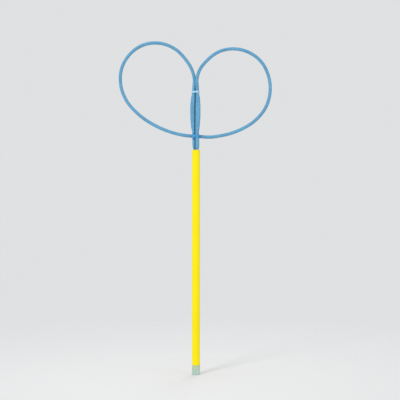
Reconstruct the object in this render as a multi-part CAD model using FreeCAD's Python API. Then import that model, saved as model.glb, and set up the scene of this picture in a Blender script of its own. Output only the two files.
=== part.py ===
import FreeCAD, Part
import math
import os

from FreeCAD import Vector

# A bubble wand: a springy hoop, folded into two loops, on a tube handle.
# Units are millimetres. +Z is up, the front faces -Y, and the origin is the middle of the foot's flat end.

# Handle tube
tube_diameter = 10.2
tube_wall = 0.8
tube_length = 274.6
tube_edge_round = 0.25

# Foot plug
foot_head_length = 12.8
foot_edge_round = 0.9
foot_neck_groove = 0.2
foot_shank_length = 24.0
foot_shank_wall = 1.5
foot_rib_count = 4
foot_rib_length = 1.2
foot_rib_height = 0.45
foot_rib_clearance = 0.02

# Hoop cord: a woven sleeve over a springy core
sleeve_diameter = 4.2
core_diameter = 2.2
core_clearance = 0.1
pair_clearance = 0.1

# Neck inside the tube
sleeve_depth = 14.0
neck_plug_length = 26.0
neck_plug_clearance = 0.05
neck_plug_edge = 0.6
core_depth = 20.0
core_hole_clearance = 0.05

# Stem, where the two strands of the hoop stand side by side and turn a little about each other.
# A turn of 90 degrees has them square to the front, and less has the right strand further forward.
stem_height = 87.0
stem_turn = 88.0
stem_belly = 3.1
stem_lean = 0.9

# Loops, measured along the cord's centre
left_loop_reach = 97.3
left_loop_rise = 50.4
right_loop_reach = 95.2
right_loop_rise = 42.5
lower_run_height = 17.8
lower_run_tilt = 0.5
pivot_reach = 8.0
pivot_gap = 0.3
seam_gap = 0.3

# Clear band round the top of the stem
stem_band_drop = 12.7
stem_band_height = 2.4
stem_band_wall = 0.4
stem_band_clearance = 0.32

# Blue tie that holds the lower run of the hoop behind the stem, with a turn each way across it
cross_tie_width = 1.3
cross_tie_wall = 0.3
cross_tie_clearance = 0.3
cross_tie_corner = 1.6
cross_tie_lean = 37.0

# Overrun of a cutter, and the smallest differences that count
overrun = 1.0
same_size = 0.02
shortest_edge = 0.01
straight_lean = 1e-5
same_heading = 1e-9

# Worked out from the sizes above
tube_bore = tube_diameter - 2 * tube_wall
mouth_height = foot_head_length + tube_length
fork_height = mouth_height + stem_height
lower_height = mouth_height + lower_run_height
pair_half = (sleeve_diameter + pair_clearance) / 2
sleeve_bore = core_diameter + 2 * core_clearance

# Stem stations from the tube's mouth up to the fork, where the strands part into the loops.
# Each has a share of the stem's height, a share of the way from the touching pair to the stem's belly,
# a share of the stem's turn, and a share of the stem's lean to the left.
stem_shares = (
    (0.000, 0.00, 0.56, 0.00),
    (0.155, 0.05, 0.60, 0.35),
    (0.272, 0.20, 0.72, 0.75),
    (0.375, 0.60, 0.88, 1.00),
    (0.508, 1.00, 0.98, 1.00),
    (0.654, 0.97, 1.00, 1.00),
    (0.772, 0.50, 0.97, 0.80),
    (0.886, 0.28, 0.82, 0.60),
    (0.943, 0.24, 0.66, 0.55),
    (1.000, 0.20, 0.48, 0.50),
)

# Loop points from the fork round to the lower run.
# Each has a share of the loop's reach, a share of its rise above the fork, or below it a share of
# the way down to the lower run, and a share of the way back from the fork's depth to the lower run's.
left_loop_shares = (
    (0.047, 0.279, 0.04),
    (0.141, 0.589, 0.10),
    (0.289, 0.861, 0.18),
    (0.487, 0.996, 0.27),
    (0.691, 0.952, 0.35),
    (0.868, 0.724, 0.43),
    (0.976, 0.381, 0.51),
    (0.997, -0.009, 0.59),
    (0.933, -0.301, 0.67),
    (0.770, -0.579, 0.75),
    (0.546, -0.795, 0.85),
    (0.309, -0.932, 0.94),
    (0.170, -0.978, 0.99),
)
right_loop_shares = (
    (0.047, 0.346, 0.04),
    (0.155, 0.660, 0.10),
    (0.303, 0.904, 0.18),
    (0.497, 1.000, 0.27),
    (0.699, 0.907, 0.35),
    (0.867, 0.641, 0.43),
    (0.969, 0.236, 0.51),
    (0.999, -0.148, 0.59),
    (0.947, -0.444, 0.67),
    (0.804, -0.699, 0.75),
    (0.578, -0.890, 0.85),
    (0.329, -0.990, 0.94),
    (0.175, -1.014, 0.99),
)


def save(name, shape):
    """Write one piece of the wand and say what it is."""
    path = os.path.join("parts", name + ".step")
    shape.exportStep(path)
    print(name, "solids", len(shape.Solids), "valid", shape.isValid(), "volume", round(shape.Volume, 1))


def cylinder(diameter, bottom, top):
    """A round bar on the wand's axis."""
    return Part.makeCylinder(diameter / 2, top - bottom, Vector(0, 0, bottom))


def edges_at(shape, height, diameter):
    """The round edges of a turned piece at one height and diameter."""
    found = []
    for edge in shape.Edges:
        curve = edge.Curve
        if not isinstance(curve, Part.Circle):
            continue
        level = abs(curve.Center.z - height) < same_size
        round_as = abs(curve.Radius - diameter / 2) < same_size
        if level and round_as:
            found.append(edge)
    return found


# Handle and foot

def make_handle_tube():
    """The yellow tube, open at both ends, with its cut edges broken."""
    tube = cylinder(tube_diameter, foot_head_length, mouth_height)
    tube = tube.cut(cylinder(tube_bore, foot_head_length - overrun, mouth_height + overrun))
    rims = edges_at(tube, mouth_height, tube_diameter)
    rims += edges_at(tube, mouth_height, tube_bore)
    return tube.makeFillet(tube_edge_round, rims)


def make_foot_plug():
    """The end plug: a head flush with the tube, and a hollow ribbed shank pushed up the bore."""
    shank_diameter = tube_bore - 2 * foot_rib_height
    shank_top = foot_head_length + foot_shank_length
    head = cylinder(tube_diameter, 0, foot_head_length)
    head = head.makeFillet(foot_edge_round, edges_at(head, 0, tube_diameter))
    head = head.makeChamfer(foot_neck_groove, edges_at(head, foot_head_length, tube_diameter))
    plug = head.fuse(cylinder(shank_diameter, foot_head_length - overrun, shank_top))
    rib_diameter = tube_bore - 2 * foot_rib_clearance
    rib_step = foot_shank_length / (foot_rib_count + 1)
    for number in range(foot_rib_count):
        middle = foot_head_length + rib_step * (number + 1)
        plug = plug.fuse(make_rib(shank_diameter, rib_diameter, middle))
    hollow = cylinder(shank_diameter - 2 * foot_shank_wall, foot_head_length, shank_top + overrun)
    return plug.cut(hollow).removeSplitter()


def make_rib(inner_diameter, outer_diameter, middle):
    """One sealing rib, sloped on its upper side so that it goes in easily."""
    base = inner_diameter / 2 - foot_rib_height
    crest = outer_diameter / 2
    low = middle - foot_rib_length / 2
    high = middle + foot_rib_length / 2
    outline = Part.makePolygon([
        Vector(base, 0, low),
        Vector(crest, 0, low),
        Vector(crest, 0, middle),
        Vector(inner_diameter / 2, 0, high),
        Vector(base, 0, high),
        Vector(base, 0, low),
    ])
    return Part.Face(outline).revolve(Vector(0, 0, 0), Vector(0, 0, 1), 360)


# The hoop's centre line

def stem_place(height, spread, turn, lean):
    """Where a strand's centre lies: in front at no turn, then to the right and behind."""
    angle = math.radians(turn)
    return Vector(spread * math.sin(angle) - lean, -spread * math.cos(angle), height)


def stem_line(half_turn):
    """One strand from the end of its sleeve in the tube up to the fork.

    The right strand has no half turn, and the left one has 180 degrees.
    """
    mouth_turn = stem_turn * stem_shares[0][2]
    line = [stem_place(mouth_height - sleeve_depth, pair_half, mouth_turn + half_turn, 0)]
    for height_share, belly_share, turn_share, lean_share in stem_shares:
        height = mouth_height + height_share * stem_height
        spread = pair_half + belly_share * (stem_belly - pair_half)
        turn = turn_share * stem_turn + half_turn
        line.append(stem_place(height, spread, turn, lean_share * stem_lean))
    return line


def stem_at(height, half_turn):
    """One strand's centre at one height, between the two stations round it."""
    line = stem_line(half_turn)
    for low, high in zip(line, line[1:]):
        if low.z <= height <= high.z:
            share = (height - low.z) / (high.z - low.z)
            return low + (high - low) * share
    return line[-1]


def pair_at(height):
    """The middle of the two strands at one height, and the way from it to the right one."""
    right = stem_at(height, 0)
    middle = (right + stem_at(height, 180)) * 0.5
    return middle, right - middle


def lower_depth():
    """How far behind the axis the lower run lies, just behind the rearmost strand."""
    away = pair_at(lower_height)[1]
    return abs(away.y) + sleeve_diameter + pair_clearance


def loop_line(shares, side, reach, rise, start):
    """A loop's centre from the fork round to its pivot beside the stem."""
    fall = fork_height - lower_height
    end = Vector(side * pivot_reach, lower_depth(), lower_height - side * lower_run_tilt)
    line = []
    for reach_share, height_share, depth_share in shares:
        step = rise if height_share > 0 else fall
        line.append(Vector(
            side * reach * reach_share,
            start.y + (end.y - start.y) * depth_share,
            fork_height + step * height_share,
        ))
    line.append(end)
    return line


def unit(vector):
    """A copy of a vector, one long."""
    return vector * (1 / vector.Length)


def directions(line):
    """The line's direction at each point, as a circle through three neighbours has it."""
    found = []
    for before, here, after in zip(line, line[1:], line[2:]):
        back = here - before
        ahead = after - here
        found.append(unit(back * (1 / back.Length ** 2) + ahead * (1 / ahead.Length ** 2)))
    return [unit(line[1] - line[0])] + found + [unit(line[-1] - line[-2])]


def bend(start, heading, end):
    """One arc that leaves its start along a heading, or a line where that is already straight."""
    chord = end - start
    along = unit(chord)
    aside = heading - along * heading.dot(along)
    if aside.Length < straight_lean:
        return Part.LineSegment(start, end).toShape()
    angle = math.acos(max(-1, min(1, heading.dot(along))))
    middle = start + chord * 0.5 + unit(aside) * (chord.Length / 2 * math.tan(angle / 2))
    return Part.Arc(start, middle, end).toShape()


def two_bends(start, heading, end, final):
    """Two tangent arcs between two points with given directions."""
    chord = end - start
    both = heading + final
    spread = 2 * (1 - heading.dot(final))
    if spread < same_heading:
        reach = chord.dot(chord) / (4 * chord.dot(final))
    else:
        lean = chord.dot(both)
        reach = (math.sqrt(lean ** 2 + spread * chord.dot(chord)) - lean) / spread
    meeting = (start + heading * reach + end - final * reach) * 0.5
    back = bend(end, final * -1, meeting)
    return [bend(start, heading, meeting), back]


def centre_wire(line, headings, first, last):
    """The centre line from one point of it to another, as tangent arcs."""
    edges = []
    for number in range(first, last):
        edges += two_bends(line[number], headings[number], line[number + 1], headings[number + 1])
    return Part.Wire(Part.__sortEdges__(edges))


def least_radius(wire):
    """The tightest arc of a wire."""
    radii = [edge.Curve.Radius for edge in wire.Edges if isinstance(edge.Curve, Part.Circle)]
    return min(radii)


def sweep(wire, start, heading, diameter):
    """A round bar along a wire."""
    ring = Part.Wire(Part.makeCircle(diameter / 2, start, heading))
    return Part.Wire(wire).makePipeShell([ring], True, False)


class Hoop:
    """The whole hoop's centre line, and the places where its stretches part."""

    def __init__(self):
        right_stem = stem_line(0)
        left_stem = stem_line(180)
        left = loop_line(left_loop_shares, -1, left_loop_reach, left_loop_rise, left_stem[-1])
        right = loop_line(right_loop_shares, 1, right_loop_reach, right_loop_rise, right_stem[-1])
        inset = (sleeve_diameter / 2 + pivot_gap) / pivot_reach / 2
        gap = right[-1] - left[-1]
        ends = [left[-1] + gap * inset, right[-1] - gap * inset]
        self.line = left_stem + left + ends + right[::-1] + right_stem[::-1]
        self.headings = directions(self.line)
        self.left_top = len(left_stem)
        self.left_pivot = self.left_top + len(left) - 1
        self.left_end = self.left_pivot + 1
        self.right_end = self.left_end + 1
        self.right_pivot = self.right_end + 1
        self.right_top = self.right_pivot + len(right) - 1
        self.last = len(self.line) - 1


def swing_axis(hoop, top, pivot):
    """The upward line that a loop swings about, through its pivot and its place above the fork."""
    return unit(hoop.line[top] - hoop.line[pivot])


def seam_cutter(hoop, top, pivot, beyond):
    """A round block from a loop's seam past a neighbouring point, its face square to the swing axis."""
    axis = swing_axis(hoop, top, pivot)
    past = hoop.line[beyond] - hoop.line[top]
    if past.dot(axis) < 0:
        axis = axis * -1
    start = hoop.line[top] - axis * (seam_gap / 2)
    return Part.makeCylinder(past.Length, past.Length + sleeve_diameter, start, axis)


def stretch(hoop, first, last, diameter):
    """A round bar along part of the hoop."""
    wire = centre_wire(hoop.line, hoop.headings, first, last)
    return sweep(wire, hoop.line[first], hoop.headings[first], diameter)


def cord_piece(hoop, first, last, diameter, bore=None):
    """A length of the cord's sleeve, with a bore, or of its core."""
    bar = stretch(hoop, first, last, diameter)
    if bore is None:
        return bar
    return bar.cut(stretch(hoop, first, last, bore))


def loop_piece(hoop, top, pivot, diameter, bore=None):
    """One loop's length of sleeve or core, from its seam above the fork to its pivot."""
    inward = top - 1 if pivot > top else top + 1
    first = min(inward, pivot)
    last = max(inward, pivot)
    bar = stretch(hoop, first, last, diameter)
    if bore is not None:
        bar = bar.fuse(Part.makeSphere(diameter / 2, hoop.line[pivot]))
        bar = bar.cut(stretch(hoop, first, last, bore))
    return bar.cut(seam_cutter(hoop, top, pivot, inward))


def stem_piece(hoop, foot, top, pivot, diameter, bore=None):
    """One strand's length of sleeve or core, from its lower end to the seam above the fork."""
    outward = top + 1 if pivot > top else top - 1
    first = min(foot, outward)
    last = max(foot, outward)
    bar = cord_piece(hoop, first, last, diameter, bore)
    return bar.cut(seam_cutter(hoop, top, pivot, outward))


# Neck, band and tie

def core_leg(hoop, foot):
    """The bare end of a core, straight down from its sleeve into the neck plug."""
    place = hoop.line[foot]
    bottom = Vector(place.x, place.y, place.z - core_depth)
    return Part.makeCylinder(core_diameter / 2, core_depth, bottom)


def make_neck_plug(hoop):
    """The plug inside the tube that holds both cores' ends and turns with the hoop."""
    top = mouth_height - sleeve_depth
    diameter = tube_bore - 2 * neck_plug_clearance
    plug = cylinder(diameter, top - neck_plug_length, top)
    plug = plug.makeChamfer(neck_plug_edge, edges_at(plug, top - neck_plug_length, diameter))
    hole_diameter = core_diameter + 2 * core_hole_clearance
    for foot in (0, hoop.last):
        place = hoop.line[foot]
        bottom = Vector(place.x, place.y, top - core_depth)
        plug = plug.cut(Part.makeCylinder(hole_diameter / 2, core_depth + overrun, bottom))
    return plug


def quarter_turn(x, y, radius, start):
    """The two ends and the middle of a quarter of a circle, from a starting angle."""
    places = []
    for angle in (start, start + 45, start + 90):
        turn = math.radians(angle)
        places.append(Vector(x + radius * math.cos(turn), y + radius * math.sin(turn), 0))
    return places


def rounded_outline(half_width, front, back, front_corner, back_corner):
    """A closed outline about the vertical middle, with its own corner radius in front and behind."""
    front_x = half_width - front_corner
    back_x = half_width - back_corner
    front_y = front + front_corner
    back_y = back - back_corner
    corners = [
        quarter_turn(front_x, front_y, front_corner, 270),
        quarter_turn(back_x, back_y, back_corner, 0),
        quarter_turn(-back_x, back_y, back_corner, 90),
        quarter_turn(-front_x, front_y, front_corner, 180),
    ]
    edges = []
    for here, after in zip(corners, corners[1:] + corners[:1]):
        start, middle, end = here
        edges.append(Part.Arc(start, middle, end).toShape())
        if (after[0] - end).Length > shortest_edge:
            edges.append(Part.LineSegment(end, after[0]).toShape())
    return Part.Wire(edges)


def make_ring(half_width, front, back, front_corner, back_corner, wall, height):
    """A flat ring of even wall about the outline, its middle at no height."""
    inner = rounded_outline(half_width, front, back, front_corner, back_corner)
    outer_sizes = (half_width + wall, front - wall, back + wall, front_corner + wall, back_corner + wall)
    outer = rounded_outline(*outer_sizes)
    ring = Part.Face(outer).extrude(Vector(0, 0, height))
    hole = Part.Face(inner).extrude(Vector(0, 0, height + 2 * overrun))
    hole.translate(Vector(0, 0, -overrun))
    ring = ring.cut(hole)
    ring.translate(Vector(0, 0, -height / 2))
    return ring


def make_stem_band():
    """The clear band that holds the two strands together just under the fork."""
    height = fork_height - stem_band_drop
    middle, away = pair_at(height)
    reach = sleeve_diameter / 2 + stem_band_clearance
    band = make_ring(away.Length + reach, -reach, reach, reach, reach, stem_band_wall, stem_band_height)
    band.rotate(Vector(0, 0, 0), Vector(0, 0, 1), math.degrees(math.atan2(away.y, away.x)))
    band.translate(middle)
    return band


def make_cross_tie():
    """The blue tie, one band leaning each way round the stem and the lower run behind it."""
    middle, away = pair_at(lower_height)
    reach = sleeve_diameter / 2 + cross_tie_clearance
    half_width = abs(away.x) + reach
    front = -abs(away.y) - reach
    back = lower_depth() + reach
    corners = (reach, cross_tie_corner)
    height = 4 * half_width
    around = make_ring(half_width, front, back, *corners, cross_tie_wall, height)
    turns = []
    for angle in (cross_tie_lean, -cross_tie_lean):
        corner = Vector(-height, -height, -cross_tie_width / 2)
        slab = Part.makeBox(2 * height, 2 * height, cross_tie_width, corner)
        slab.rotate(Vector(0, 0, 0), Vector(0, 1, 0), angle)
        turns.append(around.common(slab))
    tie = turns[0].fuse(turns[1]).removeSplitter()
    tie.translate(Vector(middle.x, 0, lower_height))
    return tie


def report(hoop):
    """Print the lengths and the places that describe how the hoop is held."""
    whole = centre_wire(hoop.line, hoop.headings, 0, hoop.last)
    print("hoop length", round(whole.Length, 1), "least radius", round(least_radius(whole), 2))
    print("fork height", fork_height)
    for top, pivot in ((hoop.left_top, hoop.left_pivot), (hoop.right_top, hoop.right_pivot)):
        print("top", hoop.line[top], "pivot", hoop.line[pivot], "axis", swing_axis(hoop, top, pivot))


def main():
    os.makedirs("parts", exist_ok=True)
    hoop = Hoop()
    report(hoop)
    save("handle_tube", make_handle_tube())
    save("foot_plug", make_foot_plug())
    save("neck_plug", make_neck_plug(hoop))

    left = (hoop.left_top, hoop.left_pivot)
    right = (hoop.right_top, hoop.right_pivot)
    lower = (hoop.left_end, hoop.right_end)
    save("left_strand_sleeve", stem_piece(hoop, 0, *left, sleeve_diameter, sleeve_bore))
    save("right_strand_sleeve", stem_piece(hoop, hoop.last, *right, sleeve_diameter, sleeve_bore))
    save("left_loop_sleeve", loop_piece(hoop, *left, sleeve_diameter, sleeve_bore))
    save("right_loop_sleeve", loop_piece(hoop, *right, sleeve_diameter, sleeve_bore))
    save("crossing_sleeve", cord_piece(hoop, *lower, sleeve_diameter, sleeve_bore))

    left_core = stem_piece(hoop, 0, *left, core_diameter)
    right_core = stem_piece(hoop, hoop.last, *right, core_diameter)
    save("left_strand_core", left_core.fuse(core_leg(hoop, 0)))
    save("right_strand_core", right_core.fuse(core_leg(hoop, hoop.last)))
    save("left_loop_core", loop_piece(hoop, *left, core_diameter))
    save("right_loop_core", loop_piece(hoop, *right, core_diameter))
    save("crossing_core", cord_piece(hoop, *lower, core_diameter))

    save("stem_band", make_stem_band())
    save("crossing_tie", make_cross_tie())


main()
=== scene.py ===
import math

import bpy
import numpy as np
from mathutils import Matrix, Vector


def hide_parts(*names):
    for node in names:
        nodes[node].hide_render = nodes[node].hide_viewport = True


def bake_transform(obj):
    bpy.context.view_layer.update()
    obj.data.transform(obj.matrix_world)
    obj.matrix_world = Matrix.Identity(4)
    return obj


# A bubble wand's looks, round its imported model. Units are metres, and lengths are written in millimetres
# times mm.
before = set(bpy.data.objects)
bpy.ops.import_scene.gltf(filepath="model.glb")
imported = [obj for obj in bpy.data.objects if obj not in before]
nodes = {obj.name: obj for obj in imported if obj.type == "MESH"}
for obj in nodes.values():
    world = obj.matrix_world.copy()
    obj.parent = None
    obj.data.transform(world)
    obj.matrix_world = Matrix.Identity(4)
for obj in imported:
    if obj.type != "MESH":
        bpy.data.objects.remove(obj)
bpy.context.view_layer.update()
mm = 0.001

# The hoop's route, with the sizes and shares of the part's source
foot_head_length = 12.8 * mm
tube_length = 274.6 * mm
sleeve_diameter = 4.2 * mm
core_diameter = 2.2 * mm
core_clearance = 0.1 * mm
pair_clearance = 0.1 * mm
sleeve_depth = 14.0 * mm
core_depth = 20.0 * mm
stem_height = 87.0 * mm
stem_turn = 88.0
stem_belly = 3.1 * mm
stem_lean = 0.9 * mm
left_loop_reach = 97.3 * mm
left_loop_rise = 50.4 * mm
right_loop_reach = 95.2 * mm
right_loop_rise = 42.5 * mm
lower_run_height = 17.8 * mm
lower_run_tilt = 0.5 * mm
pivot_reach = 8.0 * mm

mouth_height = foot_head_length + tube_length
fork_height = mouth_height + stem_height
lower_height = mouth_height + lower_run_height
pair_half = (sleeve_diameter + pair_clearance) / 2
sleeve_bore = core_diameter + 2 * core_clearance

# Stem stations from the tube's mouth up: shares of the stem's height, its belly, its turn and its lean
stem_shares = (
    (0.000, 0.00, 0.56, 0.00),
    (0.155, 0.05, 0.60, 0.35),
    (0.272, 0.20, 0.72, 0.75),
    (0.375, 0.60, 0.88, 1.00),
    (0.508, 1.00, 0.98, 1.00),
    (0.654, 0.97, 1.00, 1.00),
    (0.772, 0.50, 0.97, 0.80),
    (0.886, 0.28, 0.82, 0.60),
    (0.943, 0.24, 0.66, 0.55),
    (1.000, 0.20, 0.48, 0.50),
)

# Loop points from the fork round: shares of the loop's reach, of its rise or fall, and of the way back
left_loop_shares = (
    (0.047, 0.279, 0.04),
    (0.141, 0.589, 0.10),
    (0.289, 0.861, 0.18),
    (0.487, 0.996, 0.27),
    (0.691, 0.952, 0.35),
    (0.868, 0.724, 0.43),
    (0.976, 0.381, 0.51),
    (0.997, -0.009, 0.59),
    (0.933, -0.301, 0.67),
    (0.770, -0.579, 0.75),
    (0.546, -0.795, 0.85),
    (0.309, -0.932, 0.94),
    (0.170, -0.978, 0.99),
)
right_loop_shares = (
    (0.047, 0.346, 0.04),
    (0.155, 0.660, 0.10),
    (0.303, 0.904, 0.18),
    (0.497, 1.000, 0.27),
    (0.699, 0.907, 0.35),
    (0.867, 0.641, 0.43),
    (0.969, 0.236, 0.51),
    (0.999, -0.148, 0.59),
    (0.947, -0.444, 0.67),
    (0.804, -0.699, 0.75),
    (0.578, -0.890, 0.85),
    (0.329, -0.990, 0.94),
    (0.175, -1.014, 0.99),
)

# The sleeve's braid: yarns that lean each way round it, and the length of cord in which one yarn moves on
# by its own width
yarns_each_way = 8
yarn_pitch = 1.65 * mm
yarn_rise = 0.13 * mm
yarn_lift = 0.07 * mm
braid_sink = 0.14 * mm
points_per_yarn = 5
core_sides = 20

# How the two sleeves press together and bulge in the stem, and what holds them in
# crease_depth: how far out from where the strands meet the painted crease shade reaches
crease_depth = 1.1 * mm
swell_run = 10.0 * mm
bulge_run = 6.5 * mm
left_bulge = 1.3 * mm
right_bulge = 1.5 * mm
mouth_bulge = 0.75 * mm
right_fill_share = 0.65
band_height = fork_height - 12.7 * mm
band_half_height = 1.2 * mm
tie_half_height = 3.6 * mm
mouth_squeeze = 0.16 * mm
mouth_run = 3.0 * mm

# Camera, from the photograph's 400 pixels
photo_pixels = 400
pixel_size = 1.28 * mm
view_middle_x = 5.12 * mm
view_middle_z = 223.36 * mm
lens_length = 85.0
sensor_width = 36.0


def unit(vectors):
    """Copies of vectors, each one long."""
    return vectors / np.linalg.norm(vectors, axis=-1, keepdims=True)


# The route

def stem_line(half_turn):
    """One strand, from the end of its sleeve in the tube up to the fork. The right strand has no half turn,
    and the left one has 180 degrees."""
    stations = [(mouth_height - sleeve_depth, pair_half, stem_turn * stem_shares[0][2], 0)]
    for height_share, belly_share, turn_share, lean_share in stem_shares:
        stations.append((
            mouth_height + height_share * stem_height,
            pair_half + belly_share * (stem_belly - pair_half),
            turn_share * stem_turn,
            lean_share * stem_lean,
        ))
    line = []
    for height, spread_out, turn, lean in stations:
        angle = math.radians(turn + half_turn)
        line.append((spread_out * math.sin(angle) - lean, -spread_out * math.cos(angle), height))
    return np.array(line)


def lower_depth(stem):
    """How far behind the axis the lower run lies, just behind the rearmost strand."""
    rearmost = np.interp(lower_height, stem[:, 2], stem[:, 1])
    return abs(rearmost) + sleeve_diameter + pair_clearance


def pair_middle(heights):
    """The middle between the two strands at each height, as x and y."""
    right, left = stem_line(0), stem_line(180)
    found = []
    for axis in (0, 1):
        one = np.interp(heights, right[:, 2], right[:, axis])
        other = np.interp(heights, left[:, 2], left[:, axis])
        found.append((one + other) / 2)
    return np.stack(found, axis=1)


def loop_line(shares, side, reach, rise, start, depth):
    """A loop from the fork round to its place beside the stem."""
    line = []
    for reach_share, height_share, depth_share in shares:
        step = rise if height_share > 0 else fork_height - lower_height
        line.append((
            side * reach * reach_share,
            start[1] + (depth - start[1]) * depth_share,
            fork_height + step * height_share,
        ))
    line.append((side * pivot_reach, depth, lower_height - side * lower_run_tilt))
    return np.array(line)


def hoop_line():
    """The whole hoop: up the left strand, round the left loop, behind the stem, round the right loop and
    down the right strand."""
    right_stem = stem_line(0)
    left_stem = stem_line(180)
    depth = lower_depth(right_stem)
    left = loop_line(left_loop_shares, -1, left_loop_reach, left_loop_rise, left_stem[-1], depth)
    right = loop_line(right_loop_shares, 1, right_loop_reach, right_loop_rise, right_stem[-1], depth)
    return np.concatenate([left_stem, left, right[::-1], right_stem[::-1]])


def headings_of(line):
    """The line's direction at each point, as a circle through three neighbours has it."""
    steps = np.diff(line, axis=0)
    pull = steps / np.sum(steps ** 2, axis=1, keepdims=True)
    inner = pull[:-1] + pull[1:]
    return unit(np.concatenate([steps[:1], inner, steps[-1:]]))


def smooth_line(line, spacing):
    """Even points, about a spacing apart, on a smooth curve through a line's points."""
    headings = headings_of(line)
    places = []
    for number in range(len(line) - 1):
        start, end = line[number], line[number + 1]
        length = np.linalg.norm(end - start)
        chord = (end - start) / length
        lean = (headings[number] @ chord + headings[number + 1] @ chord) / 2
        handle = length / (1.5 * (1 + lean))
        corners = (start, start + headings[number] * handle, end - headings[number + 1] * handle, end)
        share = np.linspace(0, 1, int(length / spacing * 4) + 2)[:-1, None]
        rest = 1 - share
        weights = (rest ** 3, 3 * rest ** 2 * share, 3 * rest * share ** 2, share ** 3)
        places.append(sum(weight * corner for weight, corner in zip(weights, corners)))
    dense = np.concatenate([*places, line[-1:]])
    walked = np.concatenate([[0], np.cumsum(np.linalg.norm(np.diff(dense, axis=0), axis=1))])
    count = round(walked[-1] / spacing) + 1
    even = np.linspace(0, walked[-1], count)
    return np.stack([np.interp(even, walked, dense[:, axis]) for axis in range(3)], axis=1)


def frames_along(line):
    """Two directions across the line at each point, carried along it without twist."""
    steps = np.diff(line, axis=0)
    along = unit(np.concatenate([steps[:1], steps[:-1] + steps[1:], steps[-1:]]))
    side = unit(np.cross(along[0], (0.0, 1.0, 0.0)))
    sides = [side]
    for heading in along[1:]:
        side = unit(side - heading * (side @ heading))
        sides.append(side)
    sides = np.array(sides)
    return sides, np.cross(along, sides)


# The cord's meshes

def braid_height(around, along):
    """How high the braid stands, from 0 in its gaps to 1 on its yarns, and which way the top yarn leans."""
    heights = []
    leans = (around * yarns_each_way + along, around * yarns_each_way - along)
    for own, other, sign in ((leans[0], leans[1], 1), (leans[1], leans[0], -1)):
        across = 2 * (own - np.floor(own)) - 1
        crown = np.sqrt(np.clip(1 - 0.92 * across ** 2, 0, 1))
        over = sign * np.cos(math.pi * (other - 0.5 - np.floor(own)))
        heights.append(crown * yarn_rise + over * yarn_lift)
    top = np.maximum(*heights)
    low = yarn_rise * math.sqrt(1 - 0.92)
    height = np.clip((top - low) / (yarn_rise + yarn_lift - low), 0, 1)
    return height, (heights[0] > heights[1]).astype(float)


def eased(values, low, high):
    """A smooth step from 0 at the low value to 1 at the high one."""
    share = np.clip((values - low) / (high - low), 0, 1)
    return share * share * (3 - 2 * share)


def pair_inward(line):
    """The level way from each point of the stem to the other strand, how far apart the two strands' middles
    are, and which points are in the stem."""
    away = line[:, :2] - pair_middle(line[:, 2])
    half = np.maximum(np.linalg.norm(away, axis=1), 0.1 * mm)
    inward = np.concatenate([-away / half[:, None], np.zeros((len(line), 1))], axis=1)
    in_stem = (line[:, 2] > mouth_height) & (line[:, 2] < fork_height) & (half < 1.5 * stem_belly)
    return inward, 2 * half, in_stem


def inner_fill(spacing, side):
    """How far a strand's sleeve grows inwards until it meets the other one, of which the right one, in
    front, takes the larger share."""
    gap = np.clip(spacing - sleeve_diameter + 2 * braid_sink, 0, None)
    return gap * (right_fill_share if side > 0 else 1 - right_fill_share)


def sleeve_swell(line, spoke, side):
    """How much the sleeve's radius grows in the stem, where both strands are pushed together. Inwards they
    meet, and outwards each bulges, held in by the band, the tie and the tube's mouth."""
    inward, spacing, in_stem = pair_inward(line)
    facing = np.sum(spoke * inward[:, None], axis=2)
    clear_of_band = eased(np.abs(line[:, 2] - band_height), 0, 2 * band_half_height)
    near_fork = eased(fork_height - line[:, 2], 2 * mm, swell_run)
    fill = inner_fill(spacing, side) * (0.3 + 0.7 * clear_of_band) * near_fork
    below_band = eased(band_height - line[:, 2], band_half_height, band_half_height + bulge_run)
    above_tie = eased(line[:, 2] - lower_height, tie_half_height, tie_half_height + bulge_run)
    belly = np.clip((spacing / 2 - pair_half) / (stem_belly - pair_half), 0, 1)
    bulge = (right_bulge if side > 0 else left_bulge) * np.sqrt(belly) * below_band * above_tie
    above_mouth = eased(line[:, 2] - mouth_height, 0, bulge_run)
    below_tie = eased(lower_height - line[:, 2], tie_half_height, bulge_run)
    bulge = bulge + mouth_bulge * above_mouth * below_tie
    toward = eased(facing, 0.1, 1.0)
    apart = eased(-facing, -0.3, 1.0)
    return (toward * fill[:, None] + apart * bulge[:, None]) * in_stem[:, None]


def crease_shade_mask(outer, line, side):
    """How deep each point lies in the crease between the two strands of the stem, from 0 to 1, which sets
    the shade painted there.
    """
    inward, spacing, in_stem = pair_inward(line)
    toward = np.sum((outer - line[:, None]) * inward[:, None], axis=2)
    meeting = sleeve_diameter / 2 - braid_sink + inner_fill(spacing, side)
    below_fork = eased(fork_height - line[:, 2], 2 * mm, swell_run)
    return np.clip(1 - (meeting[:, None] - toward) / crease_depth, 0, 1) * (in_stem * below_fork)[:, None]


def ring_mesh(rings, closed_ends):
    """Faces that join rings of points, each with as many, into a tube."""
    count, sides = rings.shape[:2]
    here = np.arange(count - 1)[:, None] * sides + np.arange(sides)
    beside = np.arange(count - 1)[:, None] * sides + (np.arange(sides) + 1) % sides
    faces = np.stack([here, beside, beside + sides, here + sides], axis=-1).reshape(-1, 4).tolist()
    if closed_ends:
        faces.append(list(range(sides))[::-1])
        faces.append([(count - 1) * sides + number for number in range(sides)])
    return faces


def join_rings(outer, inner, outer_first, inner_first, flip):
    """Triangles that close the end of a hollow tube between its outer and its inner ring."""
    faces = []
    ratio = outer // inner
    for number in range(outer):
        here = outer_first + number
        beside = outer_first + (number + 1) % outer
        own = inner_first + (number // ratio)
        face = [here, beside, own]
        faces.append(face[::-1] if flip else face)
        if (number + 1) % ratio == 0:
            face = [beside, inner_first + (number // ratio + 1) % inner, own]
            faces.append(face[::-1] if flip else face)
    return faces


def make_object(name, points, faces):
    """A new smooth mesh object."""
    mesh = bpy.data.meshes.new(name)
    mesh.from_pydata(points.tolist(), [], faces)
    mesh.polygons.foreach_set("use_smooth", [True] * len(mesh.polygons))
    mesh.update()
    piece = bpy.data.objects.new(name, mesh)
    bpy.context.scene.collection.objects.link(piece)
    return piece


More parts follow.
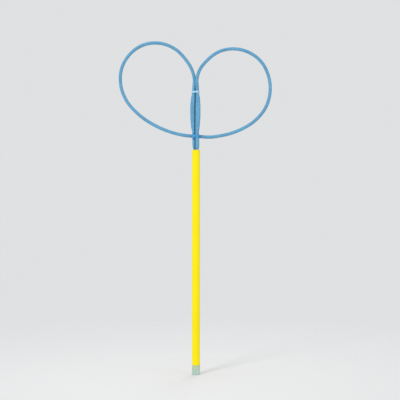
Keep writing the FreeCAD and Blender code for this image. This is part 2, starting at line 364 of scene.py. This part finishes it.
def spokes(sides, across, count):
    """Directions all round each point of a line."""
    angles = np.arange(count) / count * 2 * math.pi
    return sides[:, None] * np.cos(angles)[None, :, None] + across[:, None] * np.sin(angles)[None, :, None]


def tube_points(line, sides, across, radii):
    """Rings of points round a line, with a radius for each point of each ring."""
    return line[:, None] + spokes(sides, across, radii.shape[1]) * radii[..., None]


def make_sleeve(name, line, sides, across, first, last, side):
    """One half of the hoop's woven sleeve, with its braid in relief, a bore and closed ends."""
    part = slice(first, last + 1)
    rings = last - first + 1
    around_count = yarns_each_way * points_per_yarn
    around = np.broadcast_to(np.arange(around_count) / around_count, (rings, around_count))
    along = np.broadcast_to((np.arange(first, last + 1) / points_per_yarn)[:, None], (rings, around_count))
    height, lean = braid_height(around, along)
    swell = sleeve_swell(line[part], spokes(sides[part], across[part], around_count), side)
    folds = 0.5 + 0.5 * np.sin(along * 2.6 + 1.3 * np.sin(around * 2 * math.pi + along * 0.31))
    soft = 0.03 * mm * np.sin(along * 0.21 + side) * np.sin(along * 0.083)
    radii = sleeve_diameter / 2 - braid_sink + soft + height * (yarn_rise + yarn_lift)
    in_tube = 1 - eased(line[part][:, 2] - mouth_height, 0, mouth_run)
    radii = radii + swell * (0.9 + 0.1 * folds) - mouth_squeeze * in_tube[:, None]
    outer = tube_points(line[part], sides[part], across[part], radii)

    inner_count = yarns_each_way
    inner_at = np.unique(np.append(np.arange(first, last, 6), last))
    bore = np.full((len(inner_at), inner_count), sleeve_bore / 2)
    inner = tube_points(line[inner_at], sides[inner_at], across[inner_at], bore)
    outer_total = rings * around_count
    faces = ring_mesh(outer, False)
    outer_faces = len(faces)
    faces += [[corner + outer_total for corner in face[::-1]] for face in ring_mesh(inner, False)]
    last_inner = outer_total + (len(inner_at) - 1) * inner_count
    faces += join_rings(around_count, inner_count, 0, outer_total, True)
    faces += join_rings(around_count, inner_count, (rings - 1) * around_count, last_inner, False)
    piece = make_object(name, np.concatenate([outer.reshape(-1, 3), inner.reshape(-1, 3)]), faces)

    rest = len(piece.data.vertices) - outer_total
    # The crease attribute carries where shade is painted into the crease between the stem's strands
    crease = crease_shade_mask(outer, line[part], side)
    for label, values in (("relief", height), ("lean", lean), ("crease", crease)):
        attribute = piece.data.attributes.new(label, "FLOAT", "POINT")
        attribute.data.foreach_set("value", np.append(values.ravel(), np.zeros(rest)).astype(np.float32))
    add_yarn_map(piece.data, outer_faces, around_count, first)
    return piece


def add_yarn_map(mesh, outer_faces, around_count, first):
    """A map of the sleeve: once round is one across, and a yarn's pitch along the cord is one up."""
    corners = np.zeros(len(mesh.loops), np.int32)
    mesh.loops.foreach_get("vertex_index", corners)
    ring = corners // around_count
    place = corners % around_count
    across = place / around_count
    wrapped = np.zeros(len(corners), bool)
    by_face = place[:outer_faces * 4].reshape(-1, 4)
    turn = (by_face == 0) & (by_face.max(axis=1, keepdims=True) == around_count - 1)
    wrapped[:outer_faces * 4] = turn.ravel()
    across = np.where(wrapped, 1.0, across)
    up = (ring + first) / points_per_yarn
    layer = mesh.uv_layers.new(name="yarn_map")
    layer.data.foreach_set("uv", np.stack([across, up], axis=1).astype(np.float32).ravel())


def make_core(name, line, foot):
    """One half of the springy core, with its bare end down in the neck plug."""
    leg = foot - np.arange(1, 5)[:, None] * (0, 0, core_depth / 4)
    if np.linalg.norm(line[0] - foot) < np.linalg.norm(line[-1] - foot):
        line = np.concatenate([leg[::-1], line])
    else:
        line = np.concatenate([line, leg])
    sides, across = frames_along(line)
    radii = np.full((len(line), core_sides), core_diameter / 2)
    rings = tube_points(line, sides, across, radii)
    return make_object(name, rings.reshape(-1, 3), ring_mesh(rings, True))


# Materials

def feed(tree, value, target):
    """Give an input a number, a colour or another node's output."""
    if isinstance(value, bpy.types.NodeSocket):
        tree.links.new(value, target)
    else:
        target.default_value = value


def calculate(tree, operation, *values):
    """A sum of numbers and outputs."""
    node = tree.nodes.new("ShaderNodeMath")
    node.operation = operation
    for value, target in zip(values, node.inputs):
        feed(tree, value, target)
    return node.outputs[0]


def noise(tree, place, scale, detail=3.0):
    """Soft noise from 0 to 1."""
    node = tree.nodes.new("ShaderNodeTexNoise")
    feed(tree, place, node.inputs["Vector"])
    node.inputs["Scale"].default_value = scale
    node.inputs["Detail"].default_value = detail
    return node.outputs["Fac"]


def spread(tree, value, low, high, out_low, out_high):
    """A value's range stretched onto another."""
    node = tree.nodes.new("ShaderNodeMapRange")
    for number, item in enumerate((value, low, high, out_low, out_high)):
        feed(tree, item, node.inputs[number])
    return node.outputs[0]


def mixed(tree, share, first, second, kind="MIX"):
    """Two colours mixed."""
    node = tree.nodes.new("ShaderNodeMix")
    node.data_type = "RGBA"
    node.blend_type = kind
    feed(tree, share, node.inputs[0])
    feed(tree, first, node.inputs[6])
    feed(tree, second, node.inputs[7])
    return node.outputs[2]


def bump(tree, height, distance, strength, before=None):
    """Relief from a height."""
    node = tree.nodes.new("ShaderNodeBump")
    node.inputs["Distance"].default_value = distance
    node.inputs["Strength"].default_value = strength
    feed(tree, height, node.inputs["Height"])
    if before is not None:
        feed(tree, before, node.inputs["Normal"])
    return node.outputs[0]


def stretched(tree, place, x, y, z):
    """Coordinates with each axis scaled."""
    node = tree.nodes.new("ShaderNodeVectorMath")
    node.operation = "MULTIPLY"
    feed(tree, place, node.inputs[0])
    node.inputs[1].default_value = (x, y, z)
    return node.outputs[0]


def clouded(tree, cloud, one, other):
    """A colour that drifts between two shades with a noise."""
    return mixed(tree, spread(tree, cloud, 0.3, 0.7, 0.0, 1.0), one, other)


def new_material(name):
    """A material with nodes, its node tree and its surface shader."""
    material = bpy.data.materials.new(name)
    material.use_nodes = True
    return material, material.node_tree, material.node_tree.nodes["Principled BSDF"]


def object_place(tree):
    """The surface point in metres."""
    return tree.nodes.new("ShaderNodeTexCoord").outputs["Object"]


def attribute(tree, name):
    """A number stored on the mesh."""
    node = tree.nodes.new("ShaderNodeAttribute")
    node.attribute_name = name
    return node.outputs["Fac"]


def woven_blue():
    """The woven sleeve: blue yarns of fine filaments, with painted shade in the gaps of the braid and in
    the stem's crease, and a painted highlight on the yarns' crests.
    """
    material, tree, surface = new_material("woven_blue")
    uv = tree.nodes.new("ShaderNodeUVMap")
    uv.uv_map = "yarn_map"
    parts = tree.nodes.new("ShaderNodeSeparateXYZ")
    tree.links.new(uv.outputs[0], parts.inputs[0])
    across, along = parts.outputs[0], parts.outputs[1]
    yarns = calculate(tree, "MULTIPLY", across, float(yarns_each_way))
    one_lean = calculate(tree, "ADD", yarns, along)
    other_lean = calculate(tree, "SUBTRACT", yarns, along)
    leans_one = calculate(tree, "GREATER_THAN", attribute(tree, "lean"), 0.5)
    own = tree.nodes.new("ShaderNodeMix")
    feed(tree, leans_one, own.inputs[0])
    feed(tree, other_lean, own.inputs[2])
    feed(tree, one_lean, own.inputs[3])

    # A place on the cord that has no seam, for the noises
    angle = calculate(tree, "MULTIPLY", across, 2 * math.pi)
    place = tree.nodes.new("ShaderNodeCombineXYZ")
    feed(tree, calculate(tree, "COSINE", angle), place.inputs[0])
    feed(tree, calculate(tree, "SINE", angle), place.inputs[1])
    feed(tree, along, place.inputs[2])
    where = place.outputs[0]

    number = tree.nodes.new("ShaderNodeTexWhiteNoise")
    number.noise_dimensions = "2D"
    cell = tree.nodes.new("ShaderNodeCombineXYZ")
    feed(tree, calculate(tree, "FLOOR", one_lean), cell.inputs[0])
    feed(tree, calculate(tree, "FLOOR", other_lean), cell.inputs[1])
    tree.links.new(cell.outputs[0], number.inputs["Vector"])

    relief = attribute(tree, "relief")
    filaments = calculate(tree, "SINE", calculate(tree, "MULTIPLY", own.outputs[0], 2 * math.pi * 5))
    fibre = noise(tree, stretched(tree, where, 4.0, 4.0, 4.0), 3.0, 4.0)
    # deep also paints shade into the braid's gaps and the stem's crease, and light also paints a highlight
    # on the yarns' crests; both give the yarns' own tone too
    deep = (0.014, 0.068, 0.142, 1)
    plain = (0.118, 0.396, 0.650, 1)
    light = (0.315, 0.650, 0.875, 1)
    # Painted shade in the braid's gaps and a painted highlight on the yarns' crests, both set by the relief
    colour = mixed(tree, spread(tree, relief, 0.05, 0.70, 0.0, 1.0), deep, plain)
    colour = mixed(tree, spread(tree, relief, 0.70, 1.00, 0.0, 0.30), colour, light)
    colour = mixed(tree, spread(tree, number.outputs["Value"], 0.0, 1.0, 0.0, 0.30), colour, light)
    colour = mixed(tree, spread(tree, filaments, -1.0, 0.2, 0.28, 0.0), colour, deep)
    patches = noise(tree, stretched(tree, where, 0.5, 0.5, 0.09), 1.0, 2.0)
    colour = mixed(tree, spread(tree, patches, 0.35, 0.65, 0.0, 0.16), colour, deep)
    # Painted shade: the crease between the stem's two strands turns near-black navy
    shade = spread(tree, attribute(tree, "crease"), 0.05, 0.6, 0.0, 0.95)
    colour = mixed(tree, shade, colour, (0.006, 0.045, 0.110, 1))
    tree.links.new(colour, surface.inputs["Base Color"])

    normal = bump(tree, filaments, 0.035 * mm, 0.8)
    normal = bump(tree, fibre, 0.06 * mm, 0.5, normal)
    tree.links.new(normal, surface.inputs["Normal"])
    tree.links.new(spread(tree, fibre, 0.3, 0.7, 0.72, 0.92), surface.inputs["Roughness"])
    surface.inputs["Sheen Weight"].default_value = 0.25
    surface.inputs["Sheen Roughness"].default_value = 0.4
    surface.inputs["Specular IOR Level"].default_value = 0.3
    return material


def yellow_plastic():
    """The extruded tube: lemon yellow, semi-gloss, with faint lines along it and light scuffs."""
    material, tree, surface = new_material("yellow_plastic")
    place = object_place(tree)
    lines = noise(tree, stretched(tree, place, 1500, 1500, 6), 1.0, 3.0)
    cloud = noise(tree, stretched(tree, place, 60, 60, 22), 1.0, 3.0)
    scuffs = noise(tree, stretched(tree, place, 500, 500, 900), 1.0, 2.0)
    worn = spread(tree, scuffs, 0.66, 0.78, 0.0, 1.0)
    colour = clouded(tree, cloud, (0.92, 0.745, 0.002, 1), (0.96, 0.805, 0.004, 1))
    colour = mixed(tree, calculate(tree, "MULTIPLY", worn, 0.15), colour, (0.96, 0.86, 0.12, 1))
    tree.links.new(colour, surface.inputs["Base Color"])
    surface.inputs["Specular Tint"].default_value = (1.0, 0.84, 0.06, 1)
    surface.inputs["Coat Weight"].default_value = 0.16
    surface.inputs["Coat Roughness"].default_value = 0.12
    rough = spread(tree, cloud, 0.3, 0.7, 0.26, 0.34)
    tree.links.new(calculate(tree, "MULTIPLY_ADD", worn, 0.2, rough), surface.inputs["Roughness"])
    normal = bump(tree, lines, 0.04 * mm, 0.35)
    normal = bump(tree, cloud, 0.3 * mm, 0.25, normal)
    tree.links.new(normal, surface.inputs["Normal"])
    return material


def natural_plastic():
    """The moulded plugs: pale translucent plastic, cloudy inside, with a yellow glow painted in near the
    tube's end, a fine mould texture and a faint parting line."""
    material, tree, surface = new_material("natural_plastic")
    place = object_place(tree)
    cloud = noise(tree, stretched(tree, place, 160, 160, 70), 1.0, 4.0)
    grain = noise(tree, place, 2600.0, 2.0)
    parts = tree.nodes.new("ShaderNodeSeparateXYZ")
    tree.links.new(place, parts.inputs[0])
    # Painted light: the plug turns yellow towards the tube's end, as if lit through the yellow tube
    tube_glow_share = spread(tree, parts.outputs[2], 0.55 * foot_head_length, foot_head_length, 0.0, 1.0)
    colour = clouded(tree, cloud, (0.36, 0.49, 0.42, 1), (0.52, 0.65, 0.58, 1))
    colour = mixed(tree, calculate(tree, "MULTIPLY", tube_glow_share, 0.6), colour, (0.60, 0.60, 0.16, 1))
    side = calculate(tree, "ABSOLUTE", parts.outputs[1])
    seam = spread(tree, side, 0.05 * mm, 0.16 * mm, 1.0, 0.0)
    colour = mixed(tree, calculate(tree, "MULTIPLY", seam, 0.35), colour, (0.70, 0.80, 0.72, 1))
    tree.links.new(colour, surface.inputs["Base Color"])
    tree.links.new(spread(tree, cloud, 0.3, 0.7, 0.30, 0.46), surface.inputs["Roughness"])
    normal = bump(tree, grain, 0.03 * mm, 0.4)
    tree.links.new(bump(tree, seam, 0.06 * mm, 0.6, normal), surface.inputs["Normal"])
    surface.inputs["Subsurface Weight"].default_value = 0.6
    surface.inputs["Subsurface Radius"].default_value = (1.0, 1.0, 1.0)
    surface.inputs["Subsurface Scale"].default_value = 3 * mm
    return material


def clear_plastic():
    """The stem's band: clear plastic with a pale blue look, whose bright colour paints in its glint over
    the blue cord showing through.
    """
    material, tree, surface = new_material("clear_plastic")
    place = object_place(tree)
    haze = noise(tree, stretched(tree, place, 400, 400, 400), 1.0, 3.0)
    # Painted highlight: the band's bright pale blue stands in for its glint, together with the blue cord
    # behind it
    colour = clouded(tree, haze, (0.36, 0.70, 0.96, 1), (0.52, 0.80, 0.98, 1))
    tree.links.new(colour, surface.inputs["Base Color"])
    tree.links.new(spread(tree, haze, 0.3, 0.7, 0.10, 0.22), surface.inputs["Roughness"])
    tree.links.new(bump(tree, haze, 0.08 * mm, 0.4), surface.inputs["Normal"])
    surface.inputs["Transmission Weight"].default_value = 0.2
    surface.inputs["IOR"].default_value = 1.49
    return material


def blue_film():
    """The tie at the lower crossing: thin film that takes the cord's blue."""
    material, tree, surface = new_material("blue_film")
    place = object_place(tree)
    haze = noise(tree, stretched(tree, place, 500, 500, 500), 1.0, 3.0)
    colour = clouded(tree, haze, (0.014, 0.34, 0.76, 1), (0.034, 0.46, 0.90, 1))
    tree.links.new(colour, surface.inputs["Base Color"])
    tree.links.new(spread(tree, haze, 0.3, 0.7, 0.25, 0.40), surface.inputs["Roughness"])
    tree.links.new(bump(tree, haze, 0.08 * mm, 0.4), surface.inputs["Normal"])
    surface.inputs["Alpha"].default_value = 0.75
    return material


def nylon():
    """The drawn nylon core."""
    material, tree, surface = new_material("nylon")
    place = object_place(tree)
    cloud = noise(tree, place, 300.0, 3.0)
    colour = clouded(tree, cloud, (0.62, 0.61, 0.55, 1), (0.76, 0.75, 0.69, 1))
    tree.links.new(colour, surface.inputs["Base Color"])
    tree.links.new(spread(tree, cloud, 0.3, 0.7, 0.25, 0.4), surface.inputs["Roughness"])
    tree.links.new(bump(tree, cloud, 0.05 * mm, 0.3), surface.inputs["Normal"])
    return material


def dress(node, material):
    """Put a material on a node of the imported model."""
    node.data.materials.clear()
    node.data.materials.append(material)


# The stage

def make_floor():
    """A pale floor that fades out round the wand."""
    rings = 24
    sides = 96
    radius = 1.4
    angles = np.arange(sides) / sides * 2 * math.pi
    points = [(0.0, 0.0, 0.0)]
    for number in range(1, rings + 1):
        reach = radius * number / rings
        points += [(reach * math.cos(angle), reach * math.sin(angle), 0.0) for angle in angles]
    faces = [[0, 1 + side, 1 + (side + 1) % sides] for side in range(sides)]
    for number in range(rings - 1):
        low = 1 + number * sides
        for side in range(sides):
            beside = (side + 1) % sides
            faces.append([low + side, low + sides + side, low + sides + beside, low + beside])
    floor = make_object("floor", np.array(points), faces)
    material, tree, surface = new_material("pale_floor")
    place = object_place(tree)
    length = tree.nodes.new("ShaderNodeVectorMath")
    length.operation = "LENGTH"
    tree.links.new(place, length.inputs[0])
    surface.inputs["Base Color"].default_value = (0.80, 0.80, 0.80, 1)
    surface.inputs["Roughness"].default_value = 0.9
    tree.links.new(bump(tree, noise(tree, place, 60.0), 0.2 * mm, 0.2), surface.inputs["Normal"])
    tree.links.new(spread(tree, length.outputs["Value"], 0.15, 0.60, 1.0, 0.0), surface.inputs["Alpha"])
    floor.data.materials.append(material)


def add_light(name, place, target, size, power):
    """A square soft light."""
    lamp = bpy.data.lights.new(name, "AREA")
    lamp.shape = "SQUARE"
    lamp.size = size
    lamp.energy = power
    holder = bpy.data.objects.new(name, lamp)
    holder.location = place
    aim(holder, target)
    bpy.context.scene.collection.objects.link(holder)


def aim(holder, target):
    """Turn a light to look at a point."""
    heading = Vector(target) - Vector(holder.location)
    holder.rotation_euler = heading.to_track_quat("-Z", "Y").to_euler()


def make_studio():
    """Soft light from the front left, a weaker one from the right, and a pale world."""
    middle = (0.0, 0.0, 0.25)
    add_light("key_light", (-0.95, -1.5, 1.1), middle, 0.5, 15.0)
    add_light("fill_light", (1.4, -1.2, 0.6), middle, 1.0, 3.0)
    add_light("back_light", (0.5, 1.5, 1.2), middle, 0.8, 5.0)
    world = bpy.data.worlds.new("pale_world")
    world.use_nodes = True
    background = world.node_tree.nodes["Background"]
    background.inputs["Color"].default_value = (0.93, 0.94, 0.95, 1)
    background.inputs["Strength"].default_value = 0.80
    bpy.context.scene.world = world
    bpy.context.scene.view_settings.view_transform = "Standard"


def make_camera():
    """The camera, level and square to the wand as in the photograph."""
    camera = bpy.data.cameras.new("camera")
    camera.lens = lens_length
    camera.sensor_width = sensor_width
    holder = bpy.data.objects.new("camera", camera)
    distance = photo_pixels * pixel_size * lens_length / sensor_width
    holder.location = (view_middle_x, -distance, view_middle_z)
    holder.rotation_euler = (math.pi / 2, 0, 0)
    bpy.context.scene.collection.objects.link(holder)
    bpy.context.scene.camera = holder


# Put together

def main():
    make_camera()
    make_studio()
    make_floor()

    blue = woven_blue()
    white = nylon()
    spacing = yarn_pitch / points_per_yarn
    points = hoop_line()
    line = smooth_line(points, spacing)
    sides, across = frames_along(line)
    behind = np.where((line[:, 1] > sleeve_diameter) & (np.abs(line[:, 0]) < pivot_reach))[0]
    middle = behind[np.argmin(np.abs(line[behind, 0]))]
    halves = (
        ("left", -1, 0, middle, line[0]),
        ("right", 1, middle, len(line) - 1, line[-1]),
    )
    for half, side, first, last, foot in halves:
        sleeve = make_sleeve(half + "_hoop_sleeve", line, sides, across, first, last, side)
        sleeve.data.materials.append(blue)
        core = make_core(half + "_hoop_core", line[first:last + 1:6], foot)
        core.data.materials.append(white)
        for piece, kind, slot in ((sleeve, "sleeve", "blue_sleeve"), (core, "core", "springy_core")):
            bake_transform(piece)
            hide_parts(half + "_loop_" + kind, half + "_strand_" + kind, "crossing_" + kind)

    dress(nodes["handle_tube"], yellow_plastic())
    natural = natural_plastic()
    dress(nodes["foot_plug"], natural)
    dress(nodes["neck_plug"], natural)
    dress(nodes["stem_band"], clear_plastic())
    dress(nodes["crossing_tie"], blue_film())


main()
